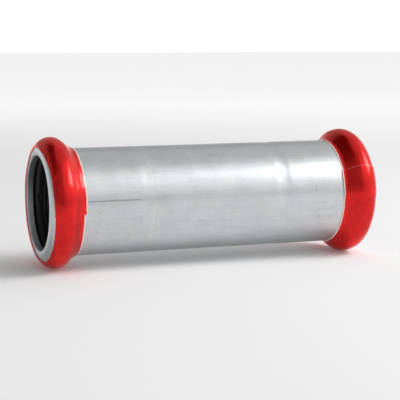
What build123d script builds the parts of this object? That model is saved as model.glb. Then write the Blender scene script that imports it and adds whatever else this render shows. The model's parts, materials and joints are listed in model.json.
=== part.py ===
from build123d import *
from math import asin, cos, degrees, radians, sin, sqrt
import os

# A press-fit slip coupling for steel pipe: one formed tube with a rounded bead at each mouth, a rubber
# seal ring in each bead, and a thin shrunk film over each bead.
# Millimetres. The pipe axis is X, the origin is the middle of the coupling, +Z is up.
# Outlines are drawn in a mouth's own plane: first the depth from the mouth, then the radius.

# Driving sizes.
pipe_diameter = 22.0
overall_length = 82.0
wall = 1.5

# Room around the pipe, on the radius.
mouth_clearance = 0.15
socket_clearance = 0.25
middle_clearance = 0.15

# The seal ring, and the bead whose inside is its chamber.
seal_section = 2.8
seal_pipe_gap = 0.02
seal_top_gap = 0.03
seal_side_gap = 0.45
flank_angle = 43.4
root_round = 1.5
mouth_outer_round = 0.45
mouth_inner_round = 0.2

# The shallow ring rolled into the tube where the socket ends.
neck_depth = 24.1
neck_draw = 0.18
neck_roller_round = 10.0
neck_edge_round = 5.0
neck_taper_length = 2.0

# Leak paths: shallow notches along the inner side of a seal ring.
leak_path_count = 4
leak_path_width = 1.6
leak_path_depth = 0.25

# The shrunk film over a bead. Its two ends lap, which doubles a stretch that is also a little wider.
film_gap = 0.02
film_thickness = 0.15
film_front_angle = 19.0
film_tail = 0.2
lap_front_angle = 25.0
lap_tail = 0.6
lap_angle = 25.0
# Where each lap starts, as an angle from the top towards -Y.
lap_start = {"left": 71.0, "right": 58.0}

# Radii and depths that follow from them.
pipe_radius = pipe_diameter / 2
half_length = overall_length / 2
mouth_bore = pipe_radius + mouth_clearance
socket_bore = pipe_radius + socket_clearance
socket_outer = socket_bore + wall
middle_bore = pipe_radius + middle_clearance
middle_outer = middle_bore + wall
seal_inner = pipe_radius + seal_pipe_gap
seal_centre = seal_inner + seal_section / 2
chamber_round = seal_section / 2 + seal_side_gap
bead_round = chamber_round + wall
bead_depth = bead_round
bead_centre = seal_inner + seal_section + seal_top_gap - chamber_round
flank_sin = sin(radians(flank_angle))
flank_cos = cos(radians(flank_angle))
root_centre = socket_outer + root_round
root_reach = bead_round + root_round - (root_centre - bead_centre) * flank_cos
root_depth = bead_depth + root_reach / flank_sin

# Each mouth's plane. Its first axis points into the tube and its second axis points up.
mouth_planes = {
    "left": Plane(origin=(-half_length, 0, 0), x_dir=(1, 0, 0), z_dir=(0, -1, 0)),
    "right": Plane(origin=(half_length, 0, 0), x_dir=(-1, 0, 0), z_dir=(0, 1, 0)),
}


def bead_angle(radius, grown):
    """Angle, up from the mouth side, at which the bead's round grown outwards meets a radius."""
    return degrees(asin((radius - bead_centre) / (bead_round + grown)))


def bead_point(angle, grown):
    """Point at an angle, up from the mouth side, on the bead's round grown outwards."""
    reach = bead_round + grown
    return (bead_depth - reach * cos(radians(angle)), bead_centre + reach * sin(radians(angle)))


def draw_bead(start_angle, grown, end_depth):
    """Draw the bead's outline grown outwards: its round, flank and root, then along the socket."""
    reach = bead_round + grown
    root = root_round - grown
    CenterArc((bead_depth, bead_centre), reach, 180 - start_angle, start_angle - 90 - flank_angle)
    Line(bead_point(90 + flank_angle, grown), (root_depth - root * flank_sin, root_centre - root * flank_cos))
    CenterArc((root_depth, root_centre), root, 270 - flank_angle, flank_angle)
    Line((root_depth, socket_outer + grown), (end_depth, socket_outer + grown))


def draw_film(front_angle, layers, tail):
    """Draw the closed outline of a film that lies on the bead and ends a tail's length past its root."""
    under = film_gap
    over = film_gap + layers * film_thickness
    end_depth = root_depth + tail
    draw_bead(front_angle, under, end_depth)
    draw_bead(front_angle, over, end_depth)
    Line(bead_point(front_angle, under), bead_point(front_angle, over))
    Line((end_depth, socket_outer + under), (end_depth, socket_outer + over))


def corner(sketch, point):
    """The corner of a sketch that lies at a point."""
    return sketch.vertices().sort_by_distance(point)[0]


def roller_reach(draw):
    """Half the width of the mark that the neck roller leaves where it sinks in by draw."""
    return sqrt(neck_roller_round**2 - (neck_roller_round - draw) ** 2)


# The tube: one half is turned from its section and mirrored.
neck_outer = socket_outer - neck_draw
neck_start = (neck_depth - roller_reach(neck_draw), socket_outer)
neck_end = (neck_depth + roller_reach(middle_outer - neck_outer), middle_outer)
taper_start = (neck_depth - neck_taper_length / 2, socket_bore)
taper_end = (neck_depth + neck_taper_length / 2, middle_bore)
outer_lip_angle = bead_angle(mouth_bore, 0)
inner_lip_angle = bead_angle(mouth_bore, -wall)
outer_lip = bead_point(outer_lip_angle, 0)
inner_lip = bead_point(inner_lip_angle, -wall)
with BuildPart() as coupling_body:
    with BuildSketch(mouth_planes["right"]) as tube_section:
        with BuildLine():
            draw_bead(outer_lip_angle, 0, neck_start[0])
            ThreePointArc(neck_start, (neck_depth, neck_outer), neck_end)
            Line(neck_end, (half_length, middle_outer))
            Line((half_length, middle_outer), (half_length, middle_bore))
            Line((half_length, middle_bore), taper_end)
            Line(taper_end, taper_start)
            draw_bead(inner_lip_angle, -wall, taper_start[0])
            Line(inner_lip, outer_lip)
        make_face()
        fillet(corner(tube_section, outer_lip), radius=mouth_outer_round)
        fillet(corner(tube_section, inner_lip), radius=mouth_inner_round)
        fillet(corner(tube_section, neck_start), radius=neck_edge_round)
        fillet(corner(tube_section, neck_end), radius=neck_edge_round)
    revolve(axis=Axis.X)
    mirror(about=Plane.YZ)
coupling_body.part.label = "coupling_body"

os.makedirs("parts", exist_ok=True)
export_step(coupling_body.part, "parts/coupling_body.step")

for side, mouth_plane in mouth_planes.items():
    # The seal ring: a round section, with leak paths cut along its inner side.
    ring_plane = Plane(origin=mouth_plane.from_local_coords((bead_depth, 0, 0)), z_dir=(1, 0, 0))
    with BuildPart() as seal_ring:
        with BuildSketch(mouth_plane):
            with Locations((bead_depth, seal_centre)):
                Circle(seal_section / 2)
        revolve(axis=Axis.X)
        with BuildSketch(ring_plane):
            with PolarLocations(seal_inner, leak_path_count):
                Rectangle(2 * leak_path_depth, leak_path_width)
        extrude(amount=seal_section / 2, both=True, mode=Mode.SUBTRACT)
    seal_ring.part.label = f"seal_ring_{side}"
    export_step(seal_ring.part, f"parts/seal_ring_{side}.step")

    # The film: one layer all round, and the doubled stretch where its ends lap.
    turn = lap_start[side] * mouth_plane.x_dir.X
    with BuildPart() as press_indicator:
        with BuildSketch(mouth_plane):
            with BuildLine():
                draw_film(film_front_angle, 1, film_tail)
            make_face()
        revolve(axis=Axis.X)
        with BuildSketch(mouth_plane.rotated((turn, 0, 0))):
            with BuildLine():
                draw_film(lap_front_angle, 2, lap_tail)
            make_face()
        revolve(axis=Axis.X, revolution_arc=lap_angle)
    press_indicator.part.label = f"press_indicator_{side}"
    export_step(press_indicator.part, f"parts/press_indicator_{side}.step")
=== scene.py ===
"""Looks of a press-fit slip coupling, built around its CAD frame.

The tube, the seal rings and the shrunk films are shaped by node trees from a few sizes, and each has its own
procedural finish. Lengths are in metres and angles in radians. The pipe axis is X, and an angle round it
starts at the top and grows towards the front, which is -Y.
"""

import json
import logging
import math
from dataclasses import dataclass
from enum import Enum
from math import radians
from typing import Any, ClassVar

import bpy
from bpy.types import Material, Mesh, Node, NodeSocket, NodeTree, Object
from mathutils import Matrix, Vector


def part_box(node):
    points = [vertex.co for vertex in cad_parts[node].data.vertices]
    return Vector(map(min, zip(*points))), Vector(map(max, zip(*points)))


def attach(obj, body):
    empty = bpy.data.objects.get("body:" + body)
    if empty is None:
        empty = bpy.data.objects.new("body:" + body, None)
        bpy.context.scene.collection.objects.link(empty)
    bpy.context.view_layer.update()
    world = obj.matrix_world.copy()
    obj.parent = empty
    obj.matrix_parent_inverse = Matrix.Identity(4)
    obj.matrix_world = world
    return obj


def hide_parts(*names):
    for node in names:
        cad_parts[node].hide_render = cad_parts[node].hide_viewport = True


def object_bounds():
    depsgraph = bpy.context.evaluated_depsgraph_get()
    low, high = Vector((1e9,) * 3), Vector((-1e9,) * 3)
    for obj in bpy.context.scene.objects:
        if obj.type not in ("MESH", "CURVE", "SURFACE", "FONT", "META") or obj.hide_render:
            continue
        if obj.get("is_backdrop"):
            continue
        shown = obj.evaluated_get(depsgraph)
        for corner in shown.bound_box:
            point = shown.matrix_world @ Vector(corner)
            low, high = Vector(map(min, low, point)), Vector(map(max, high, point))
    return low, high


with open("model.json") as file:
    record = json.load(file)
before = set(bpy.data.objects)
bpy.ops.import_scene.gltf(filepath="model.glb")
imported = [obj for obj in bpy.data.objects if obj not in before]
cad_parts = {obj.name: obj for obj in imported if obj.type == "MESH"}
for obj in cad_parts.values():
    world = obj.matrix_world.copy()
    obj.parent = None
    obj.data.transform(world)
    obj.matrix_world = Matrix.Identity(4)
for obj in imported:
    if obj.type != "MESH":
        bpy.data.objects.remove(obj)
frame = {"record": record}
CAD_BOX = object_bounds()

MM = 0.001
ROOT_BODY = "root"
CUT_DISTANCE = "cut_distance"
MERGE_DISTANCE = 0.001 * MM
SHARP_EDGE = radians(40)
LOG = logging.getLogger("coupling")

Point = tuple[float, float]
Outline = list[Point]
Colour = tuple[float, float, float]


class Side(Enum):
    """One end of the coupling."""

    LEFT = "left"
    RIGHT = "right"

    @property
    def outward(self) -> int:
        """Sign of X on the way out of this mouth."""
        return -1 if self is Side.LEFT else 1


class Slot(Enum):
    """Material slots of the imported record."""

    STEEL = "zinc_plated_steel"
    RUBBER = "seal_rubber"
    FILM = "indicator_film"


# ---- Node trees ----


class Term:
    """A number or a vector in a node tree. Arithmetic with it adds Math nodes."""

    def __init__(self, graph: "Graph", socket: NodeSocket) -> None:
        """Keeps the tree and the output socket that gives the value."""
        self.graph, self.socket = graph, socket

    def __add__(self, other: "Number") -> "Term":
        """Returns the sum."""
        return self.graph.math("ADD", self, other)

    def __radd__(self, other: float) -> "Term":
        """Returns the sum with a plain number."""
        return self.graph.math("ADD", other, self)

    def __sub__(self, other: "Number") -> "Term":
        """Returns the difference."""
        return self.graph.math("SUBTRACT", self, other)

    def __rsub__(self, other: float) -> "Term":
        """Returns the difference from a plain number."""
        return self.graph.math("SUBTRACT", other, self)

    def __mul__(self, other: "Number") -> "Term":
        """Returns the product."""
        return self.graph.math("MULTIPLY", self, other)

    def __truediv__(self, other: "Number") -> "Term":
        """Returns the quotient."""
        return self.graph.math("DIVIDE", self, other)

    def __rtruediv__(self, other: float) -> "Term":
        """Returns a plain number divided by this one."""
        return self.graph.math("DIVIDE", other, self)

    def __abs__(self) -> "Term":
        """Returns the value without its sign."""
        return self.graph.math("ABSOLUTE", self)


Number = Term | float


class Graph:
    """Adds nodes to a tree and links them."""

    def __init__(self, tree: NodeTree) -> None:
        """Keeps the tree that nodes are added to."""
        self.tree = tree

    def add(self, kind: str, inputs: dict[str | int, Any] | None = None, **settings: Any) -> Node:
        """Adds a node.

        Args:
            kind: the node's type name.
            inputs: values, terms or output sockets for its inputs, by socket name or place.
            **settings: the node's own properties.

        Returns:
            The new node.
        """
        node = self.tree.nodes.new(kind)
        for name, value in settings.items():
            setattr(node, name, value)
        for key, value in (inputs or {}).items():
            self.feed(node.inputs[key], value)
        return node

    def read(self, kind: str, inputs: dict | None = None, output: str | int = 0, **settings: Any) -> Term:
        """Adds a node and returns one of its outputs, by name or place."""
        return Term(self, self.add(kind, inputs, **settings).outputs[output])

    def feed(self, socket: NodeSocket, value: Any) -> None:
        """Links a value to an input socket, or sets the input's own value.

        Args:
            socket: the input socket.
            value: a term, an output socket or a plain value.
        """
        if isinstance(value, Term):
            value = value.socket
        if isinstance(value, NodeSocket):
            self.tree.links.new(value, socket)
        else:
            socket.default_value = value

    def math(self, operation: str, *values: Number) -> Term:
        """Adds a Math node and returns its result."""
        return self.read("ShaderNodeMath", dict(enumerate(values)), operation=operation)

    def ramp(self, value: Any, low: Number, high: Number, to_low: float = 0.0, to_high: float = 1.0) -> Term:
        """Maps a value smoothly from low..high to to_low..to_high, and holds it at the ends."""
        inputs = {"Value": value, "From Min": low, "From Max": high, "To Min": to_low, "To Max": to_high}
        return self.read("ShaderNodeMapRange", inputs, "Result", interpolation_type="SMOOTHSTEP", clamp=True)

    def noise(self, place: Any, scale: Number, octaves: float = 2.0, rough: float = 0.5) -> Term:
        """Reads a 3-D noise at a place: its scale, its octaves and how strong the finer ones are."""
        inputs = {"Vector": place, "Scale": scale, "Detail": octaves, "Roughness": rough}
        return self.read("ShaderNodeTexNoise", inputs, noise_dimensions="3D")

    def banded(self, along: Term, scale: float) -> Term:
        """Reads a 1-D noise along an axis, at a scale."""
        return self.read("ShaderNodeTexNoise", {"W": along, "Scale": scale, "Detail": 1.0}, noise_dimensions="1D")

    def combine(self, x: Number, y: Number, z: Number) -> Term:
        """Makes a vector of three numbers."""
        return self.read("ShaderNodeCombineXYZ", {0: x, 1: y, 2: z})

    def split(self, vector: Any) -> list[Term]:
        """Returns a vector's three numbers."""
        return [Term(self, socket) for socket in self.add("ShaderNodeSeparateXYZ", {0: vector}).outputs]

    def mixed(self, share: Any, first: Any, second: Any) -> Term:
        """Mixes two colours.

        Args:
            share: how much of the second shows.
            first: a colour or a term.
            second: a colour or a term.

        Returns:
            The mixed colour.
        """
        node = self.add("ShaderNodeMix", data_type="RGBA")
        self.feed(node.inputs["Factor"], share)
        colours = [socket for socket in node.inputs if socket.type == "RGBA"]
        for socket, value in zip(colours, (first, second)):
            self.feed(socket, (*value, 1.0) if isinstance(value, tuple) else value)
        return Term(self, next(socket for socket in node.outputs if socket.type == "RGBA"))

    def bump(self, height: Term, strength: float, distance: float) -> Term:
        """Turns a height into a surface direction, at a strength and a full height."""
        return self.read("ShaderNodeBump", {"Height": height, "Strength": strength, "Distance": distance})


class ShapeTree(Graph):
    """A Geometry Nodes tree with named inputs, which ends in real, smooth, finished geometry."""

    def __init__(self, name: str) -> None:
        """Starts an empty tree with one geometry in and one out.

        Args:
            name: the tree's name.
        """
        super().__init__(bpy.data.node_groups.new(name, "GeometryNodeTree"))
        self.tree.interface.new_socket("Geometry", in_out="INPUT", socket_type="NodeSocketGeometry")
        self.tree.interface.new_socket("Geometry", in_out="OUTPUT", socket_type="NodeSocketGeometry")
        self.entry = self.tree.nodes.new("NodeGroupInput")
        self.identifiers: dict[str, str] = {}

    def input(self, name: str, kind: str) -> Term:
        """Adds a named input of a socket type.

        Args:
            name: the input's name.
            kind: the socket's type.

        Returns:
            What the input is given.
        """
        item = self.tree.interface.new_socket(name, in_out="INPUT", socket_type=kind)
        self.identifiers[name] = item.identifier
        return Term(self, self.entry.outputs[name])

    def numbers(self, *names: str) -> list[Term]:
        """Adds a number input for each name."""
        return [self.input(name, "NodeSocketFloat") for name in names]

    def counts(self, *names: str) -> list[Term]:
        """Adds a whole-number input for each name."""
        return [self.input(name, "NodeSocketInt") for name in names]

    def close(self, geometry: Any, place: Term) -> None:
        """Ends the tree: points are placed, seams merged, faces smoothed and the finish is set.

        Args:
            geometry: the geometry.
            place: where each of its points goes.
        """
        material = self.input("Finish", "NodeSocketMaterial")
        moved = self.read("GeometryNodeSetPosition", {"Geometry": geometry, "Position": place})
        merged = self.read("GeometryNodeMergeByDistance", {"Geometry": moved, "Distance": MERGE_DISTANCE})
        smooth = self.read("GeometryNodeSetShadeSmooth", {"Geometry": merged})
        real = self.read("GeometryNodeRealizeInstances", {"Geometry": smooth})
        finished = self.add("GeometryNodeSetMaterial", {"Geometry": real, "Material": material})
        self.tree.links.new(finished.outputs[0], self.tree.nodes.new("NodeGroupOutput").inputs[0])

    def grid(self, around: Term, across: Term) -> tuple[Term, Term, Term]:
        """Adds a flat grid of points to bend into shape.

        Args:
            around: how many points it has along its first side.
            across: how many points it has along its second side.

        Returns:
            The grid's geometry, and each point's place along the first and the second side as whole numbers.
        """
        mesh = self.read("GeometryNodeMeshGrid", {"Vertices X": around, "Vertices Y": across}, "Mesh")
        index = self.read("GeometryNodeInputIndex")
        along = self.math("FLOOR", (index + 0.5) / across)
        return mesh, along, index - along * across

    def lobe(self, angle: Term, middle: Term, power: float) -> Term:
        """Rises from 0 to 1 at a middle angle and back over half a turn; a higher power is more pointed."""
        facing = self.math("COSINE", angle - middle)
        return self.math("POWER", self.math("MAXIMUM", facing, 0.0), power)

    def turned(self, x: Term, radius: Term, angle: Term) -> Term:
        """Places points round the pipe axis.

        Args:
            x: place along the axis.
            radius: distance from the axis.
            angle: angle from the top, towards the front.

        Returns:
            The position.
        """
        y = radius * self.math("SINE", angle) * -1.0
        z = radius * self.math("COSINE", angle)
        return self.combine(x, y, z)


# ---- Finishes ----


@dataclass(frozen=True)
class Pattern:
    """A noise on Object coordinates: features per metre, octaves, and how strong the finer octaves are."""

    scale: float | tuple[float, float, float]
    octaves: float
    rough: float = 0.5


class Surface(Graph):
    """A material's tree, with Object coordinates and its shader."""

    def __init__(self, material: Material) -> None:
        """Finds the material's shader and adds the coordinates.

        Args:
            material: the material.
        """
        super().__init__(material.node_tree)
        self.shader = material.node_tree.nodes["Principled BSDF"]
        self.place = self.read("ShaderNodeTexCoord", output="Object")

    def pattern(self, pattern: Pattern) -> Term:
        """Adds a noise, stretched into a grain where its scale differs along the axes.

        Args:
            pattern: the noise.

        Returns:
            Its value.
        """
        if isinstance(pattern.scale, float):
            return self.noise(self.place, pattern.scale, pattern.octaves, pattern.rough)
        stretched = self.read("ShaderNodeMapping", {"Vector": self.place, "Scale": pattern.scale})
        return self.noise(stretched, 1.0, pattern.octaves, pattern.rough)

    def dress(self, inputs: dict[str, Any]) -> None:
        """Gives the shader's inputs their values or terms, by name."""
        for name, value in inputs.items():
            self.feed(self.shader.inputs[name], value)


@dataclass(frozen=True)
class Finish:
    """A procedural finish, read from Object coordinates."""

    name: str

    def material(self) -> Material:
        """Builds the material.

        Returns:
            The material.
        """
        material = bpy.data.materials.new(self.name)
        material.use_nodes = True
        self.paint(Surface(material))
        return material

    def paint(self, surface: Surface) -> None:
        """Adds the finish's own nodes."""
        raise NotImplementedError


@dataclass(frozen=True)
class ZincPlating(Finish):
    """Bright zinc on drawn steel tube, with rolling marks at the necks, a weld line, raw cut ends and painted
    shade inside.
    """

    neck_x: float
    mouth_x: float
    bore: float
    seam_angle: float
    seam_from: float
    seam_to: float
    light: Colour = (0.645, 0.669, 0.682)
    dark: Colour = (0.560, 0.588, 0.602)
    stain: Colour = (0.25, 0.26, 0.28)
    bare: Colour = (0.80, 0.80, 0.79)
    # painted shade colour for the darkened inside of the tube
    inner: Colour = (0.07, 0.08, 0.09)
    clouds: Pattern = Pattern(260.0, 5.0, 0.62)
    drawing_lines: Pattern = Pattern((90.0, 2200.0, 2200.0), 3.0, 0.6)
    ripples: Pattern = Pattern((1900.0, 300.0, 300.0), 3.0, 0.65)
    grains: Pattern = Pattern(2600.0, 2.0, 0.6)
    specks: Pattern = Pattern((700.0, 380.0, 380.0), 2.0, 0.6)
    ring_scale: float = 2300.0
    dash_scale: float = 260.0
    ring_offset: float = 0.8 * MM
    seam_width: float = 0.48 * MM
    relief: float = 0.02 * MM

    def paint(self, surface: Surface) -> None:
        """Adds cloudy plating, drawing lines, rolling marks, specks, the weld line, the raw ends and painted shade
        inside the tube.

        Args:
            surface: the material's tree.
        """
        x, y, z = surface.split(surface.place)
        radius, depth = surface.math("SQRT", y * y + z * z), self.mouth_x - abs(x)
        cloud, drawn = surface.pattern(self.clouds), surface.pattern(self.drawing_lines)
        ripple, grain = surface.pattern(self.ripples), surface.pattern(self.grains)
        speck = surface.ramp(surface.pattern(self.specks), 0.68, 0.78)
        rolled = self.rolled(surface, x) * surface.ramp(cloud, 0.42, 0.58, 0.2, 1.0)
        seam = self.seam(surface, x, y, z, grain)
        raw = self.raw_end(surface, radius, depth)
        tone = surface.ramp(cloud * 0.8 + drawn * 0.7 + grain * 0.5, 0.72, 1.25)
        colour = surface.mixed(tone, self.dark, self.light)
        colour = surface.mixed(speck * 0.45, colour, self.stain)
        colour = surface.mixed(rolled * 0.45, colour, self.bare)
        colour = surface.mixed(seam * 0.95, colour, self.stain)
        # painted shade: the inside of the tube is darkened deep behind the mouths, and more so higher up
        colour = surface.mixed(self.inside(surface, radius, depth, z), colour, self.inner)
        height = drawn * 0.25 + ripple * 0.90 + grain * 0.40 + cloud * 0.85 + rolled * 0.5 + seam * -2.0
        surface.dress({
            "Base Color": colour,
            "Metallic": surface.ramp(raw, 0.0, 1.0, 1.0, 0.5),
            "Roughness": 0.24 + cloud * 0.07 + drawn * 0.06 + raw * 0.12,
            "Normal": surface.bump(height, 0.30, self.relief),
        })

    def rolled(self, surface: Surface, x: Term) -> Term:
        """How much of the fine rings shows that the roller leaves round each neck."""
        near = surface.ramp(abs(abs(x) - (self.neck_x - self.ring_offset)), 0.4 * MM, 1.8 * MM, 1.0, 0.0)
        return near * surface.ramp(surface.banded(x, self.ring_scale), 0.55, 0.70)

    def inside(self, surface: Surface, radius: Term, depth: Term, z: Term) -> Term:
        """Painted shade inside the tube: darker deep behind each mouth, and starting nearer to the mouths above
        than below.

        Args:
            surface: the material's tree.
            radius: distance from the pipe axis.
            depth: depth behind the nearer mouth.
            z: height.

        Returns:
            How much painted shade the inside gets.
        """
        inner = surface.ramp(radius, self.bore + 0.05 * MM, self.bore + 0.25 * MM, 1.0, 0.0)
        deep = surface.ramp(depth, 2.0 * MM, 6.0 * MM, 0.0, 1.0)
        above = surface.ramp(z, -3.0 * MM, 6.0 * MM, 0.0, 0.75)
        return inner * surface.math("MAXIMUM", deep, above)

    def raw_end(self, surface: Surface, radius: Term, depth: Term) -> Term:
        """How much of the cut and rolled-in end shows, which is rougher than the outside."""
        inner = surface.ramp(radius, self.bore + 0.2 * MM, self.bore + 1.0 * MM, 1.0, 0.0)
        return inner * surface.ramp(depth, 1.4 * MM, 2.2 * MM, 1.0, 0.0)

    def seam(self, surface: Surface, x: Term, y: Term, z: Term, waver: Term) -> Term:
        """The thin dark weld line, which shows in dashes along one socket.

        Args:
            surface: the material's tree.
            x: place along the axis.
            y: place across the axis.
            z: height.
            waver: a noise that makes the line uneven.

        Returns:
            How much the line shows.
        """
        off = abs(y * math.cos(self.seam_angle) + z * math.sin(self.seam_angle))
        front = surface.math("LESS_THAN", y, 0.0)
        line = surface.ramp(off, 0.0, waver * self.seam_width, 1.0, 0.0) * front
        shown = surface.ramp(surface.banded(x, self.dash_scale), 0.30, 0.55, 0.5, 1.0)
        start = surface.ramp(x, self.seam_from - 0.5 * MM, self.seam_from, 0.0, 1.0)
        end = surface.ramp(x, self.seam_to - 1.5 * MM, self.seam_to, 1.0, 0.0)
        return line * shown * (start * end)


@dataclass(frozen=True)
class ShrunkFilm(Finish):
    """Clear red film shrunk tight onto bright metal, which shines through it, with whitened cut edges."""

    bright: Colour = (0.76, 0.012, 0.011)
    deep: Colour = (0.65, 0.008, 0.008)
    cut: Colour = (0.92, 0.80, 0.72)
    sheen: Colour = (1.0, 0.50, 0.45)
    cut_width: float = 0.25 * MM
    clouds: Pattern = Pattern(220.0, 3.0, 0.55)
    lumps: Pattern = Pattern(280.0, 2.0)
    creases: Pattern = Pattern((900.0, 450.0, 450.0), 3.0, 0.6)
    scuffs: Pattern = Pattern(1500.0, 3.0, 0.7)
    relief: float = 0.12 * MM

    def paint(self, surface: Surface) -> None:
        """Adds uneven colour, shrink lumps, fine creases, scuffs and the cut edges.

        Args:
            surface: the material's tree.
        """
        cloud, lumps = surface.pattern(self.clouds), surface.pattern(self.lumps)
        crease = surface.pattern(self.creases)
        scuff = surface.ramp(surface.pattern(self.scuffs), 0.60, 0.75)
        edge = surface.read("ShaderNodeAttribute", output="Fac", attribute_name=CUT_DISTANCE)
        cut = surface.ramp(edge, self.cut_width * 0.5, self.cut_width * 1.5, 1.0, 0.0)
        colour = surface.mixed(surface.ramp(cloud, 0.38, 0.62), self.deep, self.bright)
        bump = surface.bump(lumps + crease * 0.2, 0.35, self.relief)
        surface.dress({
            "Base Color": surface.mixed(cut, colour, self.cut),
            "Metallic": surface.ramp(cut, 0.0, 1.0, 0.68, 0.0),
            "Roughness": 0.15 + cloud * 0.10 + scuff * 0.12,
            "IOR": 1.5,
            "Specular IOR Level": 0.2,
            "Specular Tint": (*self.sheen, 1.0),
            "Coat Weight": 0.32,
            "Coat Roughness": 0.2,
            "Normal": bump,
            "Coat Normal": bump,
        })


@dataclass(frozen=True)
class SealRubber(Finish):
    """Black moulded rubber with a fine skin and a trace of lubricant."""

    black: Colour = (0.006, 0.006, 0.007)
    worn: Colour = (0.014, 0.014, 0.015)
    dust: Pattern = Pattern(350.0, 3.0, 0.6)
    grains: Pattern = Pattern(4200.0, 2.0, 0.6)
    relief: float = 0.02 * MM

    def paint(self, surface: Surface) -> None:
        """Adds dusty patches, moulded grain and an uneven sheen.

        Args:
            surface: the material's tree.
        """
        dust = surface.pattern(self.dust)
        surface.dress({
            "Base Color": surface.mixed(dust, self.black, self.worn),
            "Roughness": 0.36 + dust * 0.3,
            "Normal": surface.bump(surface.pattern(self.grains), 0.3, self.relief),
        })


@dataclass(frozen=True)
class StudioFloor(Finish):
    """Plain pale floor, which glows faintly and more so far away."""

    pale: Colour = (0.90, 0.90, 0.90)
    shade: Colour = (0.87, 0.87, 0.875)
    clouds: Pattern = Pattern(6.0, 3.0)
    near_glow: float = 0.08
    far_glow: float = 0.40
    glow_from: float = 0.16
    glow_to: float = 0.75

    def paint(self, surface: Surface) -> None:
        """Adds a barely uneven pale colour and the glow.

        Args:
            surface: the material's tree.
        """
        off = surface.read("ShaderNodeVectorMath", {0: surface.place}, "Value", operation="LENGTH")
        surface.dress({
            "Base Color": surface.mixed(surface.pattern(self.clouds), self.shade, self.pale),
            "Roughness": 0.85,
            "Specular IOR Level": 0.1,
            "Emission Color": (1.0, 1.0, 1.0, 1.0),
            "Emission Strength": surface.ramp(off, self.glow_from, self.glow_to, self.near_glow, self.far_glow),
        })


# ---- The section that every piece follows ----


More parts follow.
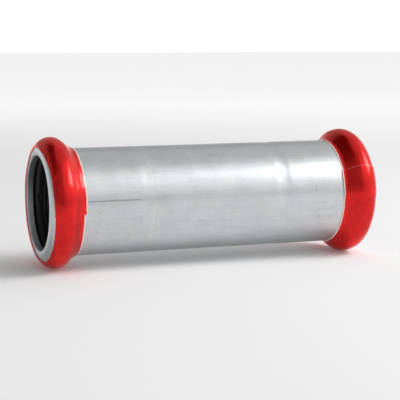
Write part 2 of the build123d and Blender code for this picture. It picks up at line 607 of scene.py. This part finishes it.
@dataclass(frozen=True)
class Section:
    """The coupling's section near a mouth, as depth from the mouth and radius from the pipe axis."""

    half_length: float
    crest: float
    seal_section: float
    seal_outer: float
    socket_bore: float
    socket_start: float
    socket_end: float
    wall: float = 1.5 * MM
    seal_side_gap: float = 0.45 * MM
    flank: float = radians(43.4)
    root: float = 1.5 * MM
    mouth_step: float = 0.10 * MM
    middle_step: float = 0.03 * MM
    lip_trim: float = 0.30 * MM
    neck_trim: float = 0.45 * MM
    neck_taper: float = 2.0 * MM
    finest_step: float = 0.18 * MM
    straight_step: float = 1.2 * MM

    @classmethod
    def from_frame(cls) -> "Section":
        """Reads the sizes that the CAD frame gives.

        Returns:
            The section.
        """
        mount = next(m for m in frame["record"]["mounts"] if m["name"] == "pipe_socket_right")
        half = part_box("coupling_body")[1].x
        ring_low, ring_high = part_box("seal_ring_right")
        middle, reach = half - mount["pos_m"][0], mount["dims"]["length_mm"] * MM / 2
        return cls(
            half_length=half,
            crest=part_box("coupling_body")[1].z,
            seal_section=ring_high.x - ring_low.x,
            seal_outer=ring_high.z,
            socket_bore=mount["dims"]["r_mm"] * MM,
            socket_start=middle - reach,
            socket_end=middle + reach,
        )

    @property
    def bead_round(self) -> float:
        """Radius of the bead's outer round, and the depth of its middle, as it touches the mouth's plane."""
        return self.seal_section / 2 + self.seal_side_gap + self.wall

    @property
    def bead_centre(self) -> float:
        """Distance of the bead's middle from the pipe axis."""
        return self.crest - self.bead_round

    @property
    def socket_outer(self) -> float:
        """Outer radius of the socket."""
        return self.socket_bore + self.wall

    @property
    def neck(self) -> float:
        """Depth of the rolled neck."""
        return self.socket_end + self.neck_taper / 2

    def arc(self, centre: Point, radius: float, start: float, end: float) -> Outline:
        """Points along an arc.

        Args:
            centre: its centre.
            radius: its radius.
            start: the angle it starts at, from straight outwards, growing away from the mouth.
            end: the angle it ends at.

        Returns:
            Its points, both ends included.
        """
        steps = max(6, math.ceil(abs(end - start) * radius / self.finest_step))
        angles = [start + (end - start) * i / steps for i in range(steps + 1)]
        return [(centre[0] + radius * math.sin(a), centre[1] + radius * math.cos(a)) for a in angles]

    def straight(self, start: Point, end: Point) -> Outline:
        """Points inside a straight run, without its ends.

        Args:
            start: where it starts.
            end: where it ends.

        Returns:
            The points.
        """
        steps = max(1, math.ceil(math.dist(start, end) / self.straight_step))
        shares = [i / steps for i in range(1, steps)]
        return [(start[0] + (end[0] - start[0]) * s, start[1] + (end[1] - start[1]) * s) for s in shares]

    def rounded(self, start: Point, corner: Point, end: Point, steps: int = 6) -> Outline:
        """Points inside a rounded corner, without its ends.

        Args:
            start: where the rounding starts.
            corner: the sharp corner.
            end: where the rounding ends.
            steps: how many pieces it has.

        Returns:
            The points.
        """
        points = []
        for i in range(1, steps):
            t = i / steps
            weights = ((1 - t) ** 2, 2 * t * (1 - t), t * t)
            points.append(tuple(sum(w * p[k] for w, p in zip(weights, (start, corner, end))) for k in (0, 1)))
        return points

    def bead(self, grown: float, start: float) -> Outline:
        """The bead's round, flank and root.

        Args:
            grown: how far it lies outside the tube's outer face.
            start: the angle on the bead's round that it starts at.

        Returns:
            Its points, from the mouth to the socket.
        """
        middle = (self.bead_round, self.bead_centre)
        root_middle = (self.socket_start, self.socket_outer + self.root)
        top = self.arc(middle, self.bead_round + grown, start, self.flank)
        foot = self.arc(root_middle, self.root - grown, math.pi + self.flank, math.pi)
        return top + self.straight(top[-1], foot[0]) + foot

    def lip(self, grown: float, bore: float) -> tuple[Point, Point, float]:
        """The corner between the bead's round and the mouth's bore.

        Args:
            grown: how far the round lies outside the tube's outer face.
            bore: the mouth's bore radius.

        Returns:
            The corner, the point on the bore where its rounding ends, and the angle where it starts.
        """
        radius = self.bead_round + grown
        angle = -math.acos((bore - self.bead_centre) / radius)
        corner = (self.bead_round + radius * math.sin(angle), bore)
        into_lip = self.lip_trim if grown == 0 else -self.lip_trim
        return corner, (corner[0] + into_lip, bore), angle + self.lip_trim / radius

    def tube(self, necks: dict[Side, "Neck"]) -> Outline:
        """The closed outline of the whole tube.

        Args:
            necks: the rolled neck at each side.

        Returns:
            Its points, as place along the axis and radius.
        """
        outer = {side: self.placed(side, self.outer_half(necks[side])) for side in Side}
        inner = {side: self.placed(side, self.inner_half()) for side in Side}
        left, right = Side.LEFT, Side.RIGHT
        return outer[left] + outer[right][-2::-1] + inner[right] + inner[left][-2::-1]

    def placed(self, side: Side, outline: Outline) -> Outline:
        """Turns depth from a mouth into place along the axis, for each point of an outline."""
        return [(side.outward * (self.half_length - depth), radius) for depth, radius in outline]

    def outer_half(self, neck: "Neck") -> Outline:
        """The outer outline of one half, from the lip to the middle.

        Args:
            neck: its rolled neck.

        Returns:
            Its points.
        """
        corner, bore_end, start = self.lip(0.0, self.socket_bore - self.mouth_step)
        middle_outer = self.socket_bore - self.middle_step + self.wall
        outside = self.bead(0.0, start)
        waist = neck.outline(self.neck, self.socket_outer, middle_outer, self)
        centre = (self.half_length, middle_outer)
        points = [bore_end, *self.rounded(bore_end, corner, outside[0]), *outside]
        return [*points, *self.straight(outside[-1], waist[0]), *waist, *self.straight(waist[-1], centre), centre]

    def inner_half(self) -> Outline:
        """The inner outline of one half, from the lip to the middle.

        Returns:
            Its points.
        """
        corner, bore_end, start = self.lip(-self.wall, self.socket_bore - self.mouth_step)
        middle_bore = self.socket_bore - self.middle_step
        inside = self.bead(-self.wall, start)
        taper_in, taper_out = (self.socket_end, self.socket_bore), (self.socket_end + self.neck_taper, middle_bore)
        centre = (self.half_length, middle_bore)
        points = [bore_end, *self.rounded(bore_end, corner, inside[0]), *inside]
        points += [*self.straight(inside[-1], taper_in), taper_in, *self.straight(taper_in, taper_out)]
        return [*points, taper_out, *self.straight(taper_out, centre), centre]


@dataclass(frozen=True)
class Neck:
    """A shallow ring rolled into the tube: how deep it goes, and the roller's radius."""

    draw: float
    roller: float

    def outline(self, depth: float, before: float, after: float, section: Section) -> Outline:
        """The neck's outline, from the socket to the middle.

        Args:
            depth: where the neck lies.
            before: the tube's outer radius at the socket.
            after: the tube's outer radius at the middle.
            section: the section that it is part of.

        Returns:
            Its points.
        """
        floor = before - self.draw
        trim = section.neck_trim
        first_turn, last_turn = (math.acos(1 - (r - floor) / self.roller) for r in (before, after))
        small = trim / self.roller
        arc = section.arc(
            (depth, floor + self.roller), self.roller, math.pi + first_turn - small, math.pi - last_turn + small
        )
        first = (depth - self.roller * math.sin(first_turn), before)
        last = (depth + self.roller * math.sin(last_turn), after)
        start, end = (first[0] - trim, before), (last[0] + trim, after)
        opening = [start, *section.rounded(start, first, arc[0])]
        return [*opening, *arc, *section.rounded(arc[-1], last, end), end]


# ---- Pieces ----


@dataclass
class Piece:
    """A visible piece that stands for one CAD node, and the thickness that its sheet gets, if it is one."""

    node: str
    slot: Slot
    thickness: float = 0.0

    def shaped(self, start: Mesh, tree: ShapeTree, values: dict[str, Any]) -> Object:
        """Args:
            start: the mesh that the tree reads.
            tree: the tree.
            values: its inputs by name.

        Returns:
            The finished piece.
        """
        piece = bpy.data.objects.new(f"{self.node}_finished", start)
        bpy.context.scene.collection.objects.link(piece)
        modifier = piece.modifiers.new("shape", "NODES")
        modifier.node_group = tree.tree
        for name, value in values.items():
            modifier[tree.identifiers[name]] = value
        if self.thickness:
            solid = piece.modifiers.new("thickness", "SOLIDIFY")
            solid.thickness, solid.offset, solid.use_even_offset = self.thickness, 1.0, True
        piece.data = self.settled(piece)
        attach(piece, ROOT_BODY)
        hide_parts(self.node)
        LOG.info("%s: %d faces", piece.name, len(piece.data.polygons))
        return piece

    def settled(self, piece: Object) -> Mesh:
        """Takes the modifiers' result and removes the modifiers.

        Args:
            piece: the piece with its modifiers.

        Returns:
            A plain mesh whose faces point outwards.
        """
        bpy.context.view_layer.update()
        graph = bpy.context.evaluated_depsgraph_get()
        mesh = bpy.data.meshes.new_from_object(piece.evaluated_get(graph))
        piece.modifiers.clear()
        if enclosed(mesh) < 0:
            mesh.flip_normals()
        mesh.shade_smooth()
        mesh.set_sharp_from_angle(angle=SHARP_EDGE)
        return mesh


def enclosed(mesh: Mesh) -> float:
    """Volume that a closed mesh holds, negative where its faces point inwards.

    Args:
        mesh: the mesh.

    Returns:
        The signed volume.
    """
    mesh.calc_loop_triangles()
    total = 0.0
    for triangle in mesh.loop_triangles:
        a, b, c = (mesh.vertices[i].co for i in triangle.vertices)
        total += a.dot(b.cross(c))
    return total / 6


@dataclass
class Tube:
    """The formed steel tube."""

    section: Section
    finish: ZincPlating
    necks: dict[Side, Neck]
    segments: int = 256
    unevenness: float = 0.03 * MM
    lump_length: float = 9.0 * MM

    def build(self) -> Object:
        """Turns the tube's section round the pipe axis, with a trace of unevenness.

        Returns:
            The finished piece.
        """
        outline = bpy.data.meshes.new("tube_outline")
        outline.from_pydata([(x, r, 0.0) for x, r in self.section.tube(self.necks)], [], [])
        tree = self.tree()
        values = {
            "Segments": self.segments, "Unevenness": self.unevenness, "Lumps per metre": 1 / self.lump_length,
            "Finish": self.finish.material(),
        }
        return Piece("coupling_body", Slot.STEEL).shaped(outline, tree, values)

    def tree(self) -> ShapeTree:
        """Builds the tree that turns a closed outline round the axis.

        Returns:
            The tree.
        """
        tree = ShapeTree("turned_tube")
        segments = tree.counts("Segments")[0]
        unevenness, lumps = tree.numbers("Unevenness", "Lumps per metre")
        outline = tree.entry.outputs["Geometry"]
        count = tree.read(
            "GeometryNodeAttributeDomainSize", {"Geometry": outline}, "Point Count", component="MESH"
        )
        mesh, along, over = tree.grid(segments + 1.0, count + 1.0)
        sample = tree.add("GeometryNodeSampleIndex", data_type="FLOAT_VECTOR", domain="POINT")
        tree.feed(sample.inputs["Geometry"], outline)
        tree.feed(sample.inputs["Value"], tree.read("GeometryNodeInputPosition"))
        tree.feed(sample.inputs["Index"], tree.math("MODULO", over, count))
        x, radius, _ = tree.split(sample.outputs[0])
        angle = along / segments * math.tau
        exact = tree.turned(x, radius, angle)
        noise = tree.read("ShaderNodeTexNoise", {"Vector": exact, "Scale": lumps, "Detail": 1.0})
        tree.close(mesh, tree.turned(x, radius + (noise - 0.5) * unevenness, angle))
        return tree


@dataclass
class SealRing:
    """A rubber ring with leak paths across its inner side and a moulding line."""

    section: Section
    side: Side
    finish: SealRubber
    segments: int = 288
    ring_points: int = 40
    leak_paths: int = 4
    leak_width: float = 1.6 * MM
    leak_depth: float = 0.25 * MM
    mould_line: float = 0.05 * MM

    def build(self) -> Object:
        """Shapes the ring in its chamber.

        Returns:
            The finished piece.
        """
        low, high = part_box(f"seal_ring_{self.side.value}")
        radius = (high.x - low.x) / 2
        centre = high.z - radius
        values = {
            "Segments": self.segments, "Ring points": self.ring_points, "Middle": (high.x + low.x) / 2,
            "Centre radius": centre, "Section radius": radius, "Leak paths": float(self.leak_paths),
            "Leak width": self.leak_width / (centre - radius), "Leak depth": self.leak_depth,
            "Mould line": self.mould_line, "Finish": self.finish.material(),
        }
        start = bpy.data.meshes.new(f"seal_start_{self.side.value}")
        return Piece(f"seal_ring_{self.side.value}", Slot.RUBBER).shaped(start, self.tree(), values)

    def tree(self) -> ShapeTree:
        """Builds the tree that shapes a ring.

        Returns:
            The tree.
        """
        tree = ShapeTree("moulded_ring")
        segments, ring_points = tree.counts("Segments", "Ring points")
        middle, centre, section = tree.numbers("Middle", "Centre radius", "Section radius")
        paths, width, depth, line = tree.numbers("Leak paths", "Leak width", "Leak depth", "Mould line")
        mesh, along, over = tree.grid(segments + 1.0, ring_points + 1.0)
        angle = along / segments * math.tau
        turn = over / ring_points * math.tau
        pitch = math.tau / paths
        off = abs(angle - tree.math("ROUND", angle / pitch) * pitch)
        in_path = tree.ramp(off, width * 0.3, width * 0.65, 1.0, 0.0)
        out = tree.math("COSINE", turn) * section
        cut = tree.math("MAXIMUM", out, depth - section)
        ringed = centre + out + (cut - out) * in_path
        side = abs(tree.math("SINE", turn))
        ridge = tree.ramp(side, 0.0, 0.16, 1.0, 0.0) * line
        inward = tree.math("SIGN", tree.math("COSINE", turn))
        x = middle + tree.math("SINE", turn) * section
        tree.close(mesh, tree.turned(x, ringed - ridge * inward, angle))
        return tree


@dataclass
class PressIndicator:
    """The red film over one bead: a strip wrapped once round, whose outer end laps over its inner end."""

    section: Section
    side: Side
    finish: ShrunkFilm
    wrap_start: float
    wrap_turn: int
    near_gap: float
    near_turn: float
    far_reach: float
    far_turn: float
    front: float
    root: float
    tail: float
    skew: float
    end_mark: float
    lap: float = radians(25)
    thickness: float = 0.14 * MM
    gap: float = 0.01 * MM
    lumps: float = 0.08 * MM
    front_waver: float = 0.16
    rear_waver: float = 0.4 * MM
    flat_edge: float = 1.2 * MM
    along: int = 420
    across: int = 56
    own_sizes: ClassVar[tuple[str, ...]] = (
        "front", "near_gap", "near_turn", "far_reach", "far_turn", "tail", "skew", "wrap_start",
        "lumps", "front_waver", "rear_waver", "flat_edge", "end_mark",
    )

    def build(self) -> Object:
        """Wraps the strip over the bead.

        Returns:
            The finished piece.
        """
        shape = self.section
        bead_round = shape.bead_round + self.gap
        socket = shape.socket_outer + self.gap
        reach = bead_round + self.root - (socket + self.root - shape.bead_centre) * math.cos(shape.flank)
        root_depth = shape.bead_round + reach / math.sin(shape.flank)
        across_flank = root_depth - self.root * math.sin(shape.flank) - shape.bead_round
        flank_length = (across_flank - bead_round * math.sin(shape.flank)) / math.cos(shape.flank)
        values = {
            "Points along": self.along, "Points across": self.across,
            "Mouth": self.side.outward * shape.half_length, "Inward": float(-self.side.outward),
            "Bead depth": shape.bead_round, "Bead centre": shape.bead_centre, "Bead round": bead_round,
            "Flank": shape.flank, "Flank length": flank_length, "Root round": self.root,
            "Wrap": self.wrap_turn * (math.tau + self.lap), "Layer": self.thickness + self.gap,
            "Finish": self.finish.material(),
        }
        for size in self.own_sizes:
            values[size.replace("_", " ").capitalize()] = getattr(self, size)
        start = bpy.data.meshes.new(f"film_start_{self.side.value}")
        piece = Piece(f"press_indicator_{self.side.value}", Slot.FILM, self.thickness)
        return piece.shaped(start, self.tree(), values)

    def tree(self) -> ShapeTree:
        """Builds the tree that wraps a strip over a bead.

        Returns:
            The tree.
        """
        tree = ShapeTree("shrunk_strip")
        along_count, across_count = tree.counts("Points along", "Points across")
        mouth, inward, depth, centre = tree.numbers("Mouth", "Inward", "Bead depth", "Bead centre")
        bead_round, flank, flank_length, root = tree.numbers("Bead round", "Flank", "Flank length", "Root round")
        front, near_gap, near_turn = tree.numbers("Front", "Near gap", "Near turn")
        far_reach, far_turn, tail, skew = tree.numbers("Far reach", "Far turn", "Tail", "Skew")
        start, wrap, layer, end_mark = tree.numbers("Wrap start", "Wrap", "Layer", "End mark")
        lumps, flat_edge = tree.numbers("Lumps", "Flat edge")
        front_waver, rear_waver = tree.numbers("Front waver", "Rear waver")
        mesh, along, over = tree.grid(along_count, across_count)
        share = along / (along_count - 1.0)
        across = over / (across_count - 1.0)
        angle = start + wrap * share
        sine, cosine = tree.math("SINE", angle), tree.math("COSINE", angle)

        # Where the strip starts and ends, measured along the bead from its crest.
        circle = tree.combine(sine, cosine, mouth)
        near = tree.lobe(angle, near_turn, 0.8) * near_gap
        far = tree.lobe(angle, far_turn, 0.5) * far_reach
        front_angle = front + near + (tree.noise(circle, 2.2, 3.0) - 0.5) * front_waver - far
        first = (front_angle - (math.pi / 2)) * bead_round
        round_end = bead_round * flank
        flank_end = round_end + flank_length
        root_end = flank_end + root * flank
        last = root_end + tail + skew * share + (tree.noise(circle, 3.1, 3.0) - 0.5) * rear_waver
        run = first + (last - first) * across

        # The bead's outline at that run: round, flank, root and socket.
        turn = tree.math("MINIMUM", run, round_end) / bead_round
        past_round = tree.math("MAXIMUM", run - round_end, 0.0)
        on_flank = tree.math("MINIMUM", past_round, flank_length)
        past_flank = tree.math("MAXIMUM", run - flank_end, 0.0)
        root_turn = tree.math("MINIMUM", past_flank / root, flank)
        on_socket = tree.math("MAXIMUM", run - root_end, 0.0)
        left_turn = flank - root_turn
        flank_sine, flank_cosine = tree.math("SINE", flank), tree.math("COSINE", flank)
        root_in = root * (flank_sine - tree.math("SINE", left_turn))
        root_down = root * (tree.math("COSINE", left_turn) - flank_cosine)
        line_depth = depth + bead_round * tree.math("SINE", turn) + on_flank * flank_cosine + root_in + on_socket
        line_radius = centre + bead_round * tree.math("COSINE", turn) - on_flank * flank_sine - root_down

        # How far the strip stands off that outline: the lapping layer and shrink lumps.
        heading = turn - root_turn
        wound = abs(wrap * share)
        lapping = tree.ramp(wound, math.tau - 0.16, math.tau - 0.02)
        swell = tree.noise(tree.combine(sine, cosine, run * 160.0), 2.4, 2.0)
        swell = tree.ramp(swell, 0.35, 0.85) * lumps
        from_front, from_rear = run - first, last - run
        swell = swell * tree.ramp(tree.math("MINIMUM", from_front, from_rear), 0.0, flat_edge)
        stand_off = lapping * layer + swell
        at_depth = line_depth + stand_off * tree.math("SINE", heading)
        radius = line_radius + stand_off * tree.math("COSINE", heading)
        to_end = (abs(wrap) - wound) * radius
        marked = tree.add("GeometryNodeStoreNamedAttribute", {"Geometry": mesh}, data_type="FLOAT", domain="POINT")
        tree.feed(marked.inputs["Name"], CUT_DISTANCE)
        tree.feed(marked.inputs["Value"], tree.math("MINIMUM", from_rear, to_end + end_mark))
        tree.close(marked.outputs[0], tree.turned(mouth + inward * at_depth, radius, angle))
        return tree


# ---- Studio ----


@dataclass
class SoftBox:
    """A rectangular lamp that faces the object."""

    name: str
    azimuth: float
    elevation: float
    distance: float
    width: float
    height: float
    radiance: float

    def build(self) -> Object:
        """Places the lamp.

        Returns:
            The lamp.
        """
        light = bpy.data.lights.new(self.name, "AREA")
        light.shape = "RECTANGLE"
        light.size = self.width
        light.size_y = self.height
        light.energy = self.radiance * math.pi * self.width * self.height
        lamp = bpy.data.objects.new(self.name, light)
        bpy.context.scene.collection.objects.link(lamp)
        back = direction(self.azimuth, self.elevation)
        lamp.location = back * self.distance
        lamp.rotation_mode = "QUATERNION"
        lamp.rotation_quaternion = back.to_track_quat("Z", "Y")
        return lamp


@dataclass(frozen=True)
class Panel:
    """A soft-edged panel of the room round the object, brighter or darker than the room."""

    azimuth: float
    elevation: float
    half_width: float
    half_height: float
    level: float
    softness: float = 0.25

    def over(self, graph: Graph, way: Term, room: Term) -> Term:
        """Lays the panel over the room.

        Args:
            graph: the room's tree.
            way: the direction that is looked in.
            room: the room's brightness without the panel.

        Returns:
            The brightness with the panel.
        """
        towards = direction(self.azimuth, self.elevation)
        across = Vector((math.cos(self.azimuth), math.sin(self.azimuth), 0.0))
        ahead, right, up = (self.along(graph, way, axis) for axis in (towards, across, across.cross(towards)))
        ahead = graph.math("MAXIMUM", ahead, 0.001)
        wide = self.inside(graph, right / ahead, self.half_width)
        high = self.inside(graph, up / ahead, self.half_height)
        return room + (self.level - room) * (wide * high)

    def along(self, graph: Graph, way: Term, axis: Vector) -> Term:
        """How far a direction goes along an axis."""
        return graph.read("ShaderNodeVectorMath", {0: way, 1: axis}, "Value", operation="DOT_PRODUCT")

    def inside(self, graph: Graph, off: Term, half: float) -> Term:
        """1 inside the panel and 0 outside, for a tangent off its middle line and half its angle."""
        edge = math.tan(half)
        return graph.ramp(abs(off), edge - self.softness, edge + self.softness, 1.0, 0.0)


@dataclass
class Studio:
    """Floor, lights, surroundings and camera."""

    floor_size: float = 8.0
    camera_azimuth: float = radians(-20.55)
    camera_elevation: float = radians(7.07)
    camera_distance: float = 314 * MM
    lens: float = 115.3
    shift: tuple[float, float] = (-0.0037, -0.0105)
    left_level: float = 0.32
    middle_level: float = 0.62
    right_level: float = 1.0
    horizon_glow: float = 0.47
    panels: tuple[Panel, ...] = (
        Panel(*map(radians, (-121, 57, 33, 17)), 0.01, 0.13),
        Panel(*map(radians, (178, 30, 40, 10)), 0.40, 0.20),
        Panel(*map(radians, (40, 40, 33, 25)), 1.03, 0.22),
        Panel(*map(radians, (62, 38, 27, 8)), 1.2, 0.15),
    )

    def build(self) -> None:
        """Builds everything round the object."""
        bpy.context.scene.view_settings.view_transform = "Standard"
        self.floor()
        self.surroundings()
        self.camera()
        SoftBox("key_light", radians(67), radians(38), 0.62, 0.32, 0.24, 9.0).build()

    def floor(self) -> None:
        """Lays the floor just under the object."""
        half = self.floor_size / 2
        height = min(CAD_BOX[0].z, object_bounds()[0].z) - 0.01 * MM
        mesh = bpy.data.meshes.new("floor")
        corners = [(-half, -half, height), (half, -half, height), (half, half, height), (-half, half, height)]
        mesh.from_pydata(corners, [], [(0, 1, 2, 3)])
        mesh.materials.append(StudioFloor("pale_floor").material())
        floor = bpy.data.objects.new("floor", mesh)
        bpy.context.scene.collection.objects.link(floor)
        floor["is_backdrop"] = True

    def surroundings(self) -> None:
        """Makes the room dimmer at the left than at the right, white low down behind, and hangs its panels."""
        world = bpy.data.worlds.new("room")
        world.use_nodes = True
        bpy.context.scene.world = world
        graph = Graph(world.node_tree)
        way = graph.read("ShaderNodeTexCoord", output="Generated")
        x, y, z = graph.split(way)
        level = graph.ramp(x, -0.5, 0.34, self.left_level, self.middle_level)
        level = level + graph.ramp(x, 0.34, 0.9, 0.0, self.right_level - self.middle_level)
        for panel in self.panels:
            level = panel.over(graph, way, level)
        behind = graph.ramp(y, 0.2, 0.8) * graph.ramp(z, 0.04, 0.20, 1.0, 0.0)
        level = level + behind * self.horizon_glow
        background = world.node_tree.nodes["Background"]
        graph.feed(background.inputs["Strength"], level)
        background.inputs["Color"].default_value = (1.0, 1.0, 1.0, 1.0)

    def camera(self) -> None:
        """Places the camera."""
        data = bpy.data.cameras.new("camera")
        data.lens = self.lens
        data.shift_x, data.shift_y = self.shift
        data.clip_start, data.clip_end = 0.01, 20.0
        camera = bpy.data.objects.new("camera", data)
        bpy.context.scene.collection.objects.link(camera)
        back = direction(self.camera_azimuth, self.camera_elevation)
        camera.location = back * self.camera_distance
        camera.rotation_mode = "QUATERNION"
        camera.rotation_quaternion = (-back).to_track_quat("-Z", "Y")
        bpy.context.scene.camera = camera


def direction(azimuth: float, elevation: float) -> Vector:
    """The way from the object to what looks at it; azimuth is 0 in front and grows towards +X."""
    flat = math.cos(elevation)
    return Vector((math.sin(azimuth) * flat, -math.cos(azimuth) * flat, math.sin(elevation)))


def main() -> None:
    """Builds every piece and the studio."""
    logging.basicConfig(level=logging.INFO, format="%(name)s: %(message)s")
    section = Section.from_frame()
    film_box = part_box("press_indicator_left")
    zinc = ZincPlating(
        "zinc_plating", neck_x=section.half_length - section.neck, mouth_x=section.half_length,
        bore=section.socket_bore, seam_angle=radians(83.5), seam_from=film_box[1].x, seam_to=-19.0 * MM,
    )
    necks = {Side.LEFT: Neck(0.045 * MM, 40 * MM), Side.RIGHT: Neck(0.09 * MM, 20 * MM)}
    Tube(section, zinc, necks).build()
    rubber = SealRubber("seal_rubber")
    for side in Side:
        SealRing(section, side, rubber).build()
    film = ShrunkFilm("red_film")
    PressIndicator(
        section, Side.LEFT, film, wrap_start=radians(71), wrap_turn=1, near_gap=radians(25),
        near_turn=radians(112), far_reach=radians(24), far_turn=radians(-105), front=radians(18.5),
        root=3.5 * MM, tail=-0.85 * MM, skew=0.55 * MM, end_mark=0.4 * MM,
    ).build()
    PressIndicator(
        section, Side.RIGHT, film, wrap_start=radians(86), wrap_turn=-1, near_gap=radians(8),
        near_turn=radians(90), far_reach=radians(6), far_turn=radians(-90), root=2.1 * MM, front=radians(22),
        tail=0.05 * MM, skew=0.2 * MM, end_mark=0.24 * MM,
    ).build()
    Studio().build()


if __name__ == "__main__":
    main()
